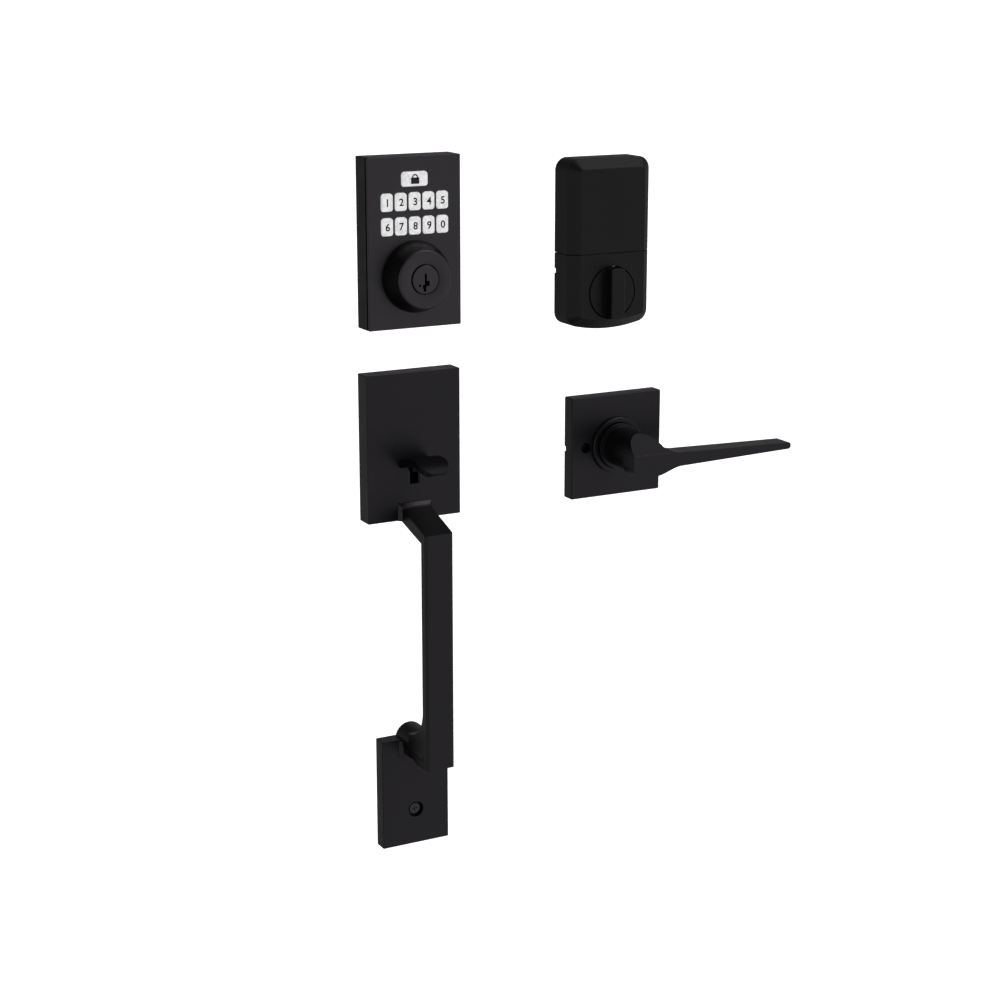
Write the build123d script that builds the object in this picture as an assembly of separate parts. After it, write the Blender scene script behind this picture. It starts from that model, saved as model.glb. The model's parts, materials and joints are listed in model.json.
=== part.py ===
from build123d import *
from math import cos, pi, radians, sin
import os

# Keypad smart lock with handleset: four units laid out side by side.
# Millimetres. +Z up, fronts face -Y, every unit's back is in the plane y = 0.
# The origin is on the deadbolt cylinder's axis, at the keypad's back.

# Keypad unit
KEYPAD_W = 70.0
KEYPAD_TOP = 82.0
KEYPAD_BOTTOM = -35.5
KEYPAD_DEPTH = 18.5
FACEPLATE = 1.6
REVEAL_W = 2.2
REVEAL_DEEP = 2.0
CASE_PANEL = 2.4
CASE_WALL = 3.0
KEY_W = 8.2
KEY_H = 11.8
KEY_PITCH = 10.4
KEY_ROWS = (51.4, 34.9)
LOCK_KEY_W = 19.1
LOCK_KEY_H = 9.6
LOCK_KEY_Z = 66.5
KEY_CORNER = 1.9
MAT_SETBACK = 3.0
MAT_THICK = 1.0
BOARD_THICK = 1.6
KEY_PROUD = 1.4
KEY_GAP = 0.3
GUARD_BASE_R = 24.6
GUARD_FRONT_R = 20.0
GUARD_FRONT = 34.5
GUARD_BORE_R = 10.3
CYLINDER_R = 15.2
PLUG_R = 9.7
POST_SPACING = 38.0
POST_R = 3.4
POST_THREAD_R = 2.1
POST_REACH = 12.0

# Interior unit
INTERIOR_X = 153.3
INTERIOR_W = 67.0
INTERIOR_TOP = 74.3
INTERIOR_BOTTOM = -48.0
INTERIOR_DEPTH = 25.0
INTERIOR_WALL = 2.0
INTERIOR_CORNER = 9.0
INTERIOR_CHAMFER = 7.0
BOTTOM_SAG = 5.0
SPLIT_Z = 6.8
SPLIT_GAP = 0.5
TURN_Z = -21.2
TURN_R = 18.2
TURN_GAP = 0.9
TURN_BAR_W = 11.0
TURN_PROUD = 9.0
BATTERY_R = 7.1
BATTERY_LEN = 50.5
BATTERY_PITCH = 14.9
CASE_SCREW_X = 24.0
CASE_SCREW_Z = -33.0
GEAR_MODULE = 1.0
TURN_TEETH = 24
IDLER_TEETH = 20
PINION_TEETH = 8
GEAR_FRONT = 12.0
GEAR_BACK = 9.0

# Handleset
CENTRE_DISTANCE = 139.7
PLATE_W = 72.0
UPPER_TOP = -67.3
UPPER_BOTTOM = -172.8
UPPER_DEPTH = 14.0
PLATE_WALL = 2.4
GRIP_W = 21.6
GRIP_FRONT = 53.0
GRIP_THICK = 7.0
GRIP_EDGE = 1.8
GRIP_ARM_TOP = -162.6
GRIP_BEND_Z = -175.4
GRIP_RIM = 2.6
GRIP_SCREW_X = 6.0
GRIP_SCREW_Z = -167.2
FOOT_SCREW_Z = -345.0
GRIP_BOTTOM = -348.4
LOWER_W = 53.0
LOWER_TOP = -338.0
LOWER_BOTTOM = -421.0
LOWER_DEPTH = 10.5
FOOT_CREST = -329.3
FOOT_BOTTOM = -351.0
LOWER_BOLT_Z = -394.5
BOLT_RECESS_R = 6.0
BOLT_SEAT = 6.2
BOLT_R = 2.5
PADDLE_W = 22.6
PADDLE_FRONT = 52.0
PADDLE_CORNER = 9.0
TAIL_HALF = 1.6
TAIL_GAP = 0.6
THUMB_PIVOT_Y = -7.6
THUMB_PIVOT_Z = -136.0

# Interior lever
LEVER_X = 167.3
LEVER_Z = -137.6
ROSE_W = 76.0
ROSE_DEPTH = 10.5
ROSE_WALL = 2.0
COLLAR_R = 21.0
NECK_R = 14.6
LEVER_FRONT = 60.0
LEVER_TIP_X = 289.5
ROSE_SCREW_SPACING = 51.2
ROSE_THREAD_R = 2.1
ROSE_SCREW_END = 14.0
BLADE_DEEP = 16.0
BLADE_HIGH = -1.4
BLADE_LOW = -6.2
BAND_TOP = 2.4
LEAF_DEEP = 19.0

BACK_PLATE = 2.0
GASKET_W = 1.4
GASKET_DEEP = 1.2
FIT = 0.06


def block(x0, x1, y0, y1, z0, z1):
    """A box between two corners."""
    centre = Pos((x0 + x1) / 2, (y0 + y1) / 2, (z0 + z1) / 2)
    return centre * Box(abs(x1 - x0), abs(y1 - y0), abs(z1 - z0))


def rod(x, z, radius, y0, y1):
    """A round bar along Y."""
    return Pos(x, (y0 + y1) / 2, z) * Rot(90, 0, 0) * Cylinder(radius, abs(y1 - y0))


def cross_rod(y, z, radius, x0, x1):
    """A round bar along X."""
    return Pos((x0 + x1) / 2, y, z) * Rot(0, 90, 0) * Cylinder(radius, abs(x1 - x0))


def taper(x, z, r_front, r_back, y_front, y_back):
    """A round bar along Y whose front and back radii differ."""
    length = abs(y_back - y_front)
    return Pos(x, (y_front + y_back) / 2, z) * Rot(90, 0, 0) * Cone(r_back, r_front, length)


def pad(x, z, width, height, radius, y0, y1):
    """A rounded rectangle in XZ, extruded from y0 back to y1."""
    outline = RectangleRounded(width, height, radius)
    return extrude(Plane(origin=(x, y1, z), x_dir=(1, 0, 0), z_dir=(0, -1, 0)) * outline, y1 - y0)


def bevelled_plate(x, z, width, height, depth, edge):
    """A plate from y = 0 to -depth with small rounded edges at its front."""
    body = block(x - width / 2, x + width / 2, -depth, 0, z - height / 2, z + height / 2)
    body = fillet(body.edges().filter_by(Axis.Y), edge)
    return fillet(body.faces().sort_by(Axis.Y)[0].edges(), edge * 0.8)


def pan_screw(x, z, head_r, shank_r, y_head, y_seat, y_end):
    """A screw along Y: head from y_head to y_seat, shank on to y_end, with a cross recess."""
    screw = rod(x, z, head_r, y_head, y_seat) + rod(x, z, shank_r, y_seat, y_end)
    sign = 1 if y_seat > y_head else -1
    arm = head_r * 0.6
    deep = y_head + sign * 0.9
    y0, y1 = sorted((y_head, deep))
    screw -= block(x - arm, x + arm, y0, y1, z - 0.4, z + 0.4)
    screw -= block(x - 0.4, x + 0.4, y0, y1, z - arm, z + arm)
    return screw


def spur_gear(x, z, teeth, y0, y1, bore, turn):
    """A spur gear about Y with short straight-sided teeth, turned by some degrees."""
    pitch_r = teeth * GEAR_MODULE / 2
    root_r = pitch_r - 0.85 * GEAR_MODULE
    tip_r = pitch_r + 0.55 * GEAR_MODULE
    gear = rod(0, 0, root_r, y0, y1)
    half_root = 0.62 * GEAR_MODULE
    half_tip = 0.32 * GEAR_MODULE
    tooth_outline = Polyline(
        (root_r - 0.5, -half_root), (tip_r, -half_tip), (tip_r, half_tip), (root_r - 0.5, half_root), close=True
    )
    tooth = extrude(Plane.XZ.offset(-y1) * make_face(tooth_outline), y1 - y0)
    for index in range(teeth):
        gear += Rot(0, turn + index * 360 / teeth, 0) * tooth
    gear -= rod(0, 0, bore, y0, y1)
    return Pos(x, 0, z) * gear


def coil(x, y, z, radius, wire, turns, pitch, axis):
    """Turns of round wire as stacked rings, about X or Y."""
    rings = []
    for index in range(turns):
        offset = (index - (turns - 1) / 2) * pitch
        if axis == "x":
            rings.append(Pos(x + offset, y, z) * Rot(0, 90, 0) * Torus(radius, wire))
        else:
            rings.append(Pos(x, y + offset, z) * Rot(90, 0, 0) * Torus(radius, wire))
    body = rings[0]
    for ring in rings[1:]:
        body += ring
    return body


def group(shapes):
    """Separate solids kept together in one node."""
    return Compound(children=[solid for shape in shapes for solid in shape.solids()])


def save(shape, name):
    export_step(shape, f"parts/{name}.step")


# ---------------------------------------------------------------- keypad unit

KEYPAD_H = KEYPAD_TOP - KEYPAD_BOTTOM
KEYPAD_MID = (KEYPAD_TOP + KEYPAD_BOTTOM) / 2
CASE_FRONT = -(KEYPAD_DEPTH - FACEPLATE)
MAT_FRONT = CASE_FRONT + MAT_SETBACK
BOARD_FRONT = MAT_FRONT + MAT_THICK
KEY_COLUMNS = tuple(KEY_PITCH * step for step in (-2, -1, 0, 1, 2))
KEY_WINDOW = (-30.0, 30.0, 24.0, 74.0)
BACK_SCREWS = ((-27.6, 76.0), (27.6, 76.0), (-27.6, -29.6), (27.6, -29.6))
CABLE_Z = -25.0
KEYWAY = ((-0.8, 0.9, -1.4, 4.2), (-0.8, 3.0, -4.6, -0.9), (-2.2, 0.4, -6.2, -3.4), (-1.8, 0.4, -8.2, -5.6))


def key_places():
    """Name, x, z, width and height of each key."""
    places = []
    for row, digits in zip(KEY_ROWS, ("12345", "67890")):
        for x, digit in zip(KEY_COLUMNS, digits):
            places.append((f"key_{digit}", x, row, KEY_W, KEY_H))
    places.append(("lock_button", 0.0, LOCK_KEY_Z, LOCK_KEY_W, LOCK_KEY_H))
    return places


def gasket_ring(x, z, width, height, grow):
    """The closed band that seals a plate to the door, or its groove when grown."""
    outer = pad(x, z, width - 1.6 + grow, height - 1.6 + grow, 1.0, -GASKET_DEEP - grow / 2, 0)
    inner_w = width - 1.6 - 2 * GASKET_W - grow
    inner_h = height - 1.6 - 2 * GASKET_W - grow
    return outer - pad(x, z, inner_w, inner_h, 1.0, -GASKET_DEEP - grow, 1)


def keypad_housing():
    body = bevelled_plate(0, KEYPAD_MID, KEYPAD_W, KEYPAD_H, -CASE_FRONT, 0.6)
    inner_w = KEYPAD_W / 2 - CASE_WALL
    inside = CASE_FRONT + CASE_PANEL
    body -= block(-inner_w, inner_w, inside, 1, KEYPAD_BOTTOM + CASE_WALL, KEYPAD_TOP - CASE_WALL)
    reveal = block(-50, 50, CASE_FRONT - 1, CASE_FRONT + REVEAL_DEEP, -100, 100)
    core_w = KEYPAD_W - 2 * REVEAL_W
    core_h = KEYPAD_H - 2 * REVEAL_W
    body -= reveal - pad(0, KEYPAD_MID, core_w, core_h, 0.4, CASE_FRONT - 2, CASE_FRONT + REVEAL_DEEP)
    x0, x1, z0, z1 = KEY_WINDOW
    body -= block(x0, x1, CASE_FRONT - 1, inside + 1, z0, z1)
    body -= rod(0, 0, CYLINDER_R + 0.2, CASE_FRONT - 1, inside + 1)
    for x, z in BACK_SCREWS:
        body += rod(x, z, 3.0, inside - 1, -BACK_PLATE)
        body -= rod(x, z, 1.2, -9, 0)
    for x in (-POST_SPACING / 2, POST_SPACING / 2):
        body -= rod(x, 0, POST_R, CASE_FRONT - 1, inside + 1)
    return body - gasket_ring(0, KEYPAD_MID, KEYPAD_W, KEYPAD_H, 0.0)


def keypad_faceplate():
    body = bevelled_plate(0, KEYPAD_MID, KEYPAD_W, KEYPAD_H, KEYPAD_DEPTH, 0.6)
    body -= block(-50, 50, CASE_FRONT, 1, -100, 100)
    for name, x, z, width, height in key_places():
        body -= pad(x, z, width + 2 * KEY_GAP, height + 2 * KEY_GAP, 2.2, -KEYPAD_DEPTH - 1, 0)
    return body - rod(0, 0, CYLINDER_R + 0.2, -KEYPAD_DEPTH - 1, 0)


def key_cap(x, z, width, height):
    front = -KEYPAD_DEPTH - KEY_PROUD
    cap = pad(x, z, width, height, KEY_CORNER, front, CASE_FRONT + 0.2)
    cap = fillet(cap.faces().sort_by(Axis.Y)[0].edges(), 0.5)
    flange = pad(x, z, width + 1.0, height + 2.2, 1.0, CASE_FRONT + 0.05, CASE_FRONT + 0.95)
    return cap + flange


def key_mat():
    mat = pad(0, 49.2, 59.0, 47.0, 2.0, MAT_FRONT, BOARD_FRONT)
    for name, x, z, width, height in key_places():
        mat += rod(x, z, 2.6, MAT_FRONT - 1.1, MAT_FRONT + 0.2)
    return mat


def keypad_board():
    back = BOARD_FRONT + BOARD_THICK
    board = pad(0, 48.6, 60.0, 45.0, 1.5, BOARD_FRONT, back)
    board += block(-12, 2, back - 0.1, back + 1.2, 44, 58)
    board += block(10, 20, back - 0.1, back + 0.9, 50, 56)
    board += block(-24, -14, back - 0.1, -3.6, 29, 35)
    return board


def keypad_back_plate():
    half = KEYPAD_W / 2 - CASE_WALL - 0.1
    plate = block(-half, half, -BACK_PLATE, 0, KEYPAD_BOTTOM + CASE_WALL + 0.1, KEYPAD_TOP - CASE_WALL - 0.1)
    plate -= rod(0, 0, 9.0, -BACK_PLATE - 1, 1)
    for x in (-POST_SPACING / 2, POST_SPACING / 2):
        plate -= rod(x, 0, POST_R + 0.1, -BACK_PLATE - 1, 1)
    for x, z in BACK_SCREWS:
        plate -= rod(x, z, 1.5, -BACK_PLATE - 1, 1)
        plate -= rod(x, z, 2.7, -1.2, 1)
    plate -= pad(0, CABLE_Z, 16.2, 8.2, 2.5, -BACK_PLATE - 1, 1)
    return plate


def keypad_back_screws():
    return group([pan_screw(x, z, 2.6, 1.2, 0, -1.2, -8) for x, z in BACK_SCREWS])


def cable_grommet():
    grommet = pad(0, CABLE_Z, 16.0, 8.0, 2.4, -BACK_PLATE - 1.0, 0)
    grommet += pad(0, CABLE_Z, 19.0, 11.0, 3.0, -BACK_PLATE - 1.4, -BACK_PLATE)
    return grommet - pad(0, CABLE_Z, 12.0, 5.0, 0.8, -BACK_PLATE - 2, 1)


def cylinder_guard():
    back = -KEYPAD_DEPTH
    front = -GUARD_FRONT
    body = rod(0, 0, GUARD_BASE_R, back - 3.2, back)
    body += taper(0, 0, GUARD_FRONT_R, GUARD_BASE_R, front, back - 3.2)
    body = fillet(body.faces().sort_by(Axis.Y)[0].edges(), 1.6)
    body -= rod(0, 0, CYLINDER_R + 0.2, front + 3.0, back + 1)
    return body - rod(0, 0, GUARD_BORE_R, front - 1, back)


def cylinder_body():
    body = rod(0, 0, CYLINDER_R, -GUARD_FRONT + 3.1, -5.2)
    return body - rod(0, 0, PLUG_R + FIT, -GUARD_FRONT - 2, 0)


def key_plug():
    front = -GUARD_FRONT - 0.6
    plug = rod(0, 0, PLUG_R, front, -5.4)
    plug = fillet(plug.faces().sort_by(Axis.Y)[0].edges(), 0.3)
    for x0, x1, z0, z1 in KEYWAY:
        plug -= block(x0, x1, front - 1, -9, z0, z1)
    return plug - rod(-4.4, -3.9, 0.9, front - 1, -12)


def torque_blade():
    return rod(0, 0, 5.4, -5.0, -3.6) + block(-1.0, 1.0, -3.8, 46.0, -3.1, 3.1)


def cylinder_posts():
    posts = []
    for x in (-POST_SPACING / 2, POST_SPACING / 2):
        post = rod(x, 0, POST_R, CASE_FRONT, POST_REACH)
        posts.append(post - rod(x, 0, POST_THREAD_R, 0, POST_REACH + 1))
    return group(posts)


# -------------------------------------------------------------- interior unit

def interior_outline(inset):
    """The interior unit's front outline, with its sagging lower edge, moved in by inset."""
    half = INTERIOR_W / 2 - inset
    top = INTERIOR_TOP - inset
    low_side = INTERIOR_BOTTOM + BOTTOM_SAG + inset
    low_mid = INTERIOR_BOTTOM + inset
    sides = Polyline((-half, low_side), (-half, top), (half, top), (half, low_side))
    belly = ThreePointArc((half, low_side), (0, low_mid), (-half, low_side))
    return make_face([sides.edges(), belly.edges()])


def interior_form(inset, corner, bevel):
    """The whole interior case as one closed form, with a wide bevel round its front."""
    depth = INTERIOR_DEPTH - inset
    plane = Plane(origin=(INTERIOR_X, 0, 0), x_dir=(1, 0, 0), z_dir=(0, -1, 0))
    body = extrude(plane * interior_outline(inset), depth)
    body = fillet(body.edges().filter_by(Axis.Y), corner)
    return chamfer(body.faces().sort_by(Axis.Y)[0].edges(), bevel)


def interior_shell():
    """The whole case as a shell of even thickness, open at its back."""
    corner = INTERIOR_CORNER - INTERIOR_WALL
    inner_chamfer = INTERIOR_CHAMFER - INTERIOR_WALL * (2 - 2 ** 0.5)
    outer = interior_form(0, INTERIOR_CORNER, INTERIOR_CHAMFER)
    return outer - interior_form(INTERIOR_WALL, corner, inner_chamfer)


def interior_housing():
    body = interior_shell()
    body -= block(100, 200, -50, 10, SPLIT_Z, 100)
    body -= rod(INTERIOR_X, TURN_Z, TURN_R + TURN_GAP, -40, -10)
    left = INTERIOR_X - INTERIOR_W / 2
    body -= block(left - 1, left + 1.0, -1.8, 1, -8.0, -4.4)
    for side in (-1, 1):
        x = INTERIOR_X + side * CASE_SCREW_X
        body += rod(x, CASE_SCREW_Z, 3.4, -INTERIOR_DEPTH + 1.6, -BACK_PLATE)
        body -= rod(x, CASE_SCREW_Z, 1.3, -10, 0)
    return body


def battery_cover():
    return interior_shell() - block(100, 200, -50, 10, -100, SPLIT_Z + SPLIT_GAP)


def battery_places():
    return [INTERIOR_X + BATTERY_PITCH * step for step in (-1.5, -0.5, 0.5, 1.5)]


BATTERY_Y = -13.6
BATTERY_Z = 39.5


def battery_tray():
    x0 = INTERIOR_X - 30.9
    x1 = INTERIOR_X + 30.9
    tray = block(x0, x1, -6.0, -4.4, SPLIT_Z + 1, 64.0)
    tray += block(x0 + 5, x1 - 5, -6.0, -4.4, 63.0, 70.6)
    tray += block(x0, x1, -17, -5, SPLIT_Z + 1, SPLIT_Z + 2.6)
    tray += block(x0 + 5, x1 - 5, -16, -5, 69.2, 70.6)
    tray += block(x0, x0 + 0.8, -12, -5, SPLIT_Z + 1, 66)
    tray += block(x1 - 0.8, x1, -12, -5, SPLIT_Z + 1, 66)
    tray += block(x0 + 6, x0 + 12, -5, -BACK_PLATE, 14, 20)
    tray += block(x1 - 12, x1 - 6, -5, -BACK_PLATE, 14, 20)
    return tray


def batteries():
    cells = []
    for index, x in enumerate(battery_places()):
        up = 1 if index % 2 else -1
        nub_z = BATTERY_Z + up * (BATTERY_LEN / 2 - 0.6)
        cell = Pos(x, BATTERY_Y, BATTERY_Z - up * 0.5) * Cylinder(BATTERY_R, BATTERY_LEN - 1.4)
        cell = fillet(cell.edges(), 0.6)
        cells.append(cell + Pos(x, BATTERY_Y, nub_z) * Cylinder(2.6, 1.8))
    return group(cells)


def battery_contacts():
    pieces = []
    for index, x in enumerate(battery_places()):
        for end in (-1, 1):
            sprung = (end == 1) != bool(index % 2)
            tip = BATTERY_Z + end * (BATTERY_LEN / 2 + 0.35)
            wall = SPLIT_Z + 2.6 if end < 0 else 69.2
            plate_z = wall - end * 0.3
            plate = Pos(x, BATTERY_Y, plate_z) * Box(9, 9, 0.6)
            reach = abs(plate_z - tip)
            radius = 3.4 if sprung else 1.6
            bump = Pos(x, BATTERY_Y, (plate_z + tip) / 2) * Cone(radius, radius * 0.8, reach)
            pieces.append(plate + bump)
    return group(pieces)


def interior_board():
    board = block(INTERIOR_X - 28, INTERIOR_X + 28, -4.2, -2.6, 24, 66)
    board += block(INTERIOR_X - 5, INTERIOR_X + 5, -2.8, -2.1, 40, 50)
    return board


MOUNT_BOLT_SPACING = POST_SPACING


def mounting_plate():
    x = INTERIOR_X
    inset = INTERIOR_WALL + 0.7
    plane = Plane(origin=(x, 0, 0), x_dir=(1, 0, 0), z_dir=(0, -1, 0))
    plate = extrude(plane * interior_outline(inset), BACK_PLATE)
    plate = fillet(plate.edges().filter_by(Axis.Y), INTERIOR_CORNER - inset)
    plate -= rod(x, TURN_Z, 7.0, -3, 1)
    for side in (-1, 1):
        plate -= rod(x + side * MOUNT_BOLT_SPACING / 2, TURN_Z, 2.7, -3, 1)
        plate -= rod(x + side * CASE_SCREW_X, CASE_SCREW_Z, 1.5, -3, 1)
        plate -= rod(x + side * CASE_SCREW_X, CASE_SCREW_Z, 2.7, -1.2, 1)
    plate -= pad(x, 4.0, 22.0, 12.0, 3.0, -3, 1)
    return plate


def housing_screws():
    places = (INTERIOR_X - CASE_SCREW_X, INTERIOR_X + CASE_SCREW_X)
    return group([pan_screw(x, CASE_SCREW_Z, 2.6, 1.3, 0, -1.2, -9) for x in places])


def thumbturn():
    x = INTERIOR_X
    disc = rod(x, TURN_Z, TURN_R, -INTERIOR_DEPTH - 0.2, -INTERIOR_DEPTH + 3.4)
    bar = block(x - TURN_BAR_W / 2, x + TURN_BAR_W / 2, -INTERIOR_DEPTH - TURN_PROUD, -INTERIOR_DEPTH,
                TURN_Z - 20, TURN_Z + 20)
    bar = bar & rod(x, TURN_Z, TURN_R, -50, -20)
    bar = fillet(bar.faces().sort_by(Axis.Y)[0].edges(), 0.8)
    knob = disc + bar + rod(x, TURN_Z, 5.0, -INTERIOR_DEPTH + 3, -3.0)
    return knob - block(x - 1.3, x + 1.3, -14, -2, TURN_Z - 3.4, TURN_Z + 3.4)


IDLER_ANGLE = 128.0
PINION_ANGLE = 10.0


def gear_centres():
    """Centres of the turn gear, the idler and the motor pinion."""
    hub = (INTERIOR_X, TURN_Z)
    first = (TURN_TEETH + IDLER_TEETH) * GEAR_MODULE / 2 + 0.1
    idler = (hub[0] + first * cos(radians(IDLER_ANGLE)), hub[1] + first * sin(radians(IDLER_ANGLE)))
    second = (IDLER_TEETH + PINION_TEETH) * GEAR_MODULE / 2 + 0.1
    pinion = (idler[0] + second * cos(radians(PINION_ANGLE)), idler[1] + second * sin(radians(PINION_ANGLE)))
    return hub, idler, pinion


def gear_turns():
    """Angle of each gear's first tooth, so that a tooth always faces a gap."""
    hub = -IDLER_ANGLE
    idler = -(IDLER_ANGLE + 180) + 180 / IDLER_TEETH
    towards_pinion = -PINION_ANGLE
    steps = (towards_pinion - idler) * IDLER_TEETH / 360
    phase = steps - round(steps)
    pinion = -(PINION_ANGLE + 180) + 180 / PINION_TEETH + phase * 360 / PINION_TEETH
    return hub, idler, pinion


def turn_gear():
    hub, idler, pinion = gear_centres()
    return spur_gear(hub[0], hub[1], TURN_TEETH, -GEAR_FRONT, -GEAR_BACK, 5.0, gear_turns()[0])


def idler_gear():
    hub, idler, pinion = gear_centres()
    return spur_gear(idler[0], idler[1], IDLER_TEETH, -GEAR_FRONT, -GEAR_BACK, 1.5 + FIT, gear_turns()[1])


def motor_pinion():
    hub, idler, pinion = gear_centres()
    return spur_gear(pinion[0], pinion[1], PINION_TEETH, -GEAR_FRONT, -GEAR_BACK, 1.0, gear_turns()[2])


def gearbox_plate():
    hub, idler, pinion = gear_centres()
    x = INTERIOR_X
    plate = block(x - 20, x + 20, -7.6, -6.2, -38, 5.0)
    plate -= rod(hub[0], hub[1], 5.0 + FIT, -9, -5)
    plate += rod(idler[0], idler[1], 1.5, -GEAR_FRONT - 0.6, -7)
    for side in (-1, 1):
        plate += rod(x + side * 15, -35.0, 2.0, -6.5, -BACK_PLATE)
        plate += rod(x + side * 15, 2.0, 2.0, -6.5, -BACK_PLATE)
        plate -= rod(x + side * MOUNT_BOLT_SPACING / 2, TURN_Z, 4.6, -9, -5)
    return plate


def motor():
    hub, idler, pinion = gear_centres()
    can = rod(pinion[0], pinion[1], 4.8, -20.4, -GEAR_FRONT - 0.8)
    return can + rod(pinion[0], pinion[1], 2.0, -GEAR_FRONT - 1, -GEAR_FRONT - 0.4)


# ------------------------------------------------------------------ handleset

UPPER_MID = (UPPER_TOP + UPPER_BOTTOM) / 2
UPPER_H = UPPER_TOP - UPPER_BOTTOM
LOWER_MID = (LOWER_TOP + LOWER_BOTTOM) / 2
LOWER_H = LOWER_TOP - LOWER_BOTTOM
SLOT_HALF = 4.0
LATCH_Z = -CENTRE_DISTANCE


def plate_shell(z, width, height, depth, edge):
    """A hollow escutcheon, open at its back."""
    body = bevelled_plate(0, z, width, height, depth, edge)
    half_w = width / 2 - CASE_WALL
    half_h = height / 2 - CASE_WALL
    return body - block(-half_w, half_w, -depth + PLATE_WALL, 1, z - half_h, z + half_h)


def upper_escutcheon():
    body = plate_shell(UPPER_MID, PLATE_W, UPPER_H, UPPER_DEPTH, 0.5)
    body -= block(-SLOT_HALF, SLOT_HALF, -UPPER_DEPTH - 1, -UPPER_DEPTH + 3, -147.0, -129.6)
    for x in (-GRIP_SCREW_X, GRIP_SCREW_X):
        body -= rod(x, GRIP_SCREW_Z, 1.7, -UPPER_DEPTH - 1, -UPPER_DEPTH + 3)
    return body - gasket_ring(0, UPPER_MID, PLATE_W, UPPER_H, 0.0)


def upper_back_plate():
    half = PLATE_W / 2 - CASE_WALL - 0.1
    plate = block(-half, half, -BACK_PLATE, 0, UPPER_BOTTOM + CASE_WALL + 0.1, UPPER_TOP - CASE_WALL - 0.1)
    slot_half = TAIL_HALF + TAIL_GAP
    plate -= block(-slot_half, slot_half, -BACK_PLATE - 1, 1, -150, -124)
    for x in (-POST_SPACING / 2, POST_SPACING / 2):
        plate -= rod(x, LATCH_Z, POST_R + 0.1, -BACK_PLATE - 1, 1)
    return plate


def upper_posts():
    posts = []
    for x in (-POST_SPACING / 2, POST_SPACING / 2):
        post = rod(x, LATCH_Z, POST_R, -UPPER_DEPTH + PLATE_WALL, POST_REACH)
        posts.append(post - rod(x, LATCH_Z, POST_THREAD_R, 0, POST_REACH + 1))
    return group(posts)


def side_sheet(points, x0, x1):
    """A closed YZ outline made solid between two planes across X."""
    plane = Plane(origin=(x0, 0, 0), x_dir=(0, 1, 0), z_dir=(1, 0, 0))
    return extrude(plane * make_face(Polyline(*points, close=True)), x1 - x0)


def grip_rim(y_plate, z_low, z_high, half):
    """The sloping rim where the grip meets a plate."""
    spread = half + GRIP_RIM
    outline = Polyline((-spread, y_plate), (spread, y_plate), (half, y_plate - GRIP_RIM),
                       (-half, y_plate - GRIP_RIM), close=True)
    return extrude(Plane.XY.offset(z_low) * make_face(outline), z_high - z_low)


def grip_foot():
    """The lower arm: a rounded hump over the plate's top, curving up into the bar."""
    half = GRIP_W / 2
    back = -GRIP_FRONT + GRIP_THICK
    sweep_r = 24.0
    spring_z = FOOT_CREST - half - 0.4
    foot = rod(0, spring_z, half + 0.4, back - 1, -0.4)
    foot += side_sheet(((-LOWER_DEPTH, spring_z), (-LOWER_DEPTH, FOOT_BOTTOM), (back - 1, GRIP_BOTTOM),
                        (back - 1, spring_z)), -half, half)
    rise = block(-half, half, back - 1, back + sweep_r, spring_z, FOOT_CREST + sweep_r)
    foot += rise - cross_rod(back + sweep_r, FOOT_CREST + sweep_r, sweep_r, -half - 1, half + 1)
    foot -= block(-30, 30, -LOWER_DEPTH, 1, -400, LOWER_TOP)
    foot += grip_rim(-LOWER_DEPTH, FOOT_BOTTOM - 0.6, LOWER_TOP - 1.0, half)
    hollow = ((-LOWER_DEPTH - GRIP_RIM, spring_z - 1.5), (-LOWER_DEPTH - GRIP_RIM, FOOT_BOTTOM - 2),
              (back + 8, FOOT_BOTTOM - 2), (back + 8, FOOT_BOTTOM + 1.4))
    for x0, x1 in ((-half - 1, -half + 3.4), (half - 3.4, half + 1)):
        foot -= side_sheet(hollow, x0, x1)
    return foot


def grip_handle():
    half = GRIP_W / 2
    front = -GRIP_FRONT
    back = front + GRIP_THICK
    grip = side_sheet(((-UPPER_DEPTH, GRIP_ARM_TOP), (front, GRIP_BEND_Z), (front, GRIP_BOTTOM),
                       (back, GRIP_BOTTOM + 0.5), (back, GRIP_BEND_Z - 6.4), (-UPPER_DEPTH, UPPER_BOTTOM)),
                      -half, half)
    for side in (-1, 1):
        x = side * (half - GRIP_EDGE)
        corner = block(x, side * (half + 1), front - 1, front + GRIP_EDGE, -400, -150)
        corner -= Pos(x, front + GRIP_EDGE, -275) * Cylinder(GRIP_EDGE, 260)
        grip -= corner
    rim = grip_rim(-UPPER_DEPTH, UPPER_BOTTOM, GRIP_ARM_TOP + GRIP_RIM, half)
    rim_top = GRIP_ARM_TOP + GRIP_RIM
    grip += rim & side_sheet(((-UPPER_DEPTH, rim_top), (-UPPER_DEPTH - GRIP_RIM, rim_top - GRIP_RIM),
                              (-UPPER_DEPTH - GRIP_RIM, UPPER_BOTTOM), (-UPPER_DEPTH, UPPER_BOTTOM)), -30, 30)
    grip += grip_foot()
    grip -= rod(0, FOOT_SCREW_Z, 1.8, -22, -LOWER_DEPTH)
    for x in (-GRIP_SCREW_X, GRIP_SCREW_X):
        grip -= rod(x, GRIP_SCREW_Z, 1.6, -20.5, 0)
    return grip


def grip_screws():
    seat = -UPPER_DEPTH + PLATE_WALL
    screws = []
    for x in (-GRIP_SCREW_X, GRIP_SCREW_X):
        screws.append(pan_screw(x, GRIP_SCREW_Z, 2.4, 1.5, seat + 1.8, seat, -20))
    seat = -LOWER_DEPTH + PLATE_WALL
    screws.append(pan_screw(0, FOOT_SCREW_Z, 3.2, 1.7, seat + 1.9, seat, -21.5))
    return group(screws)


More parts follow.
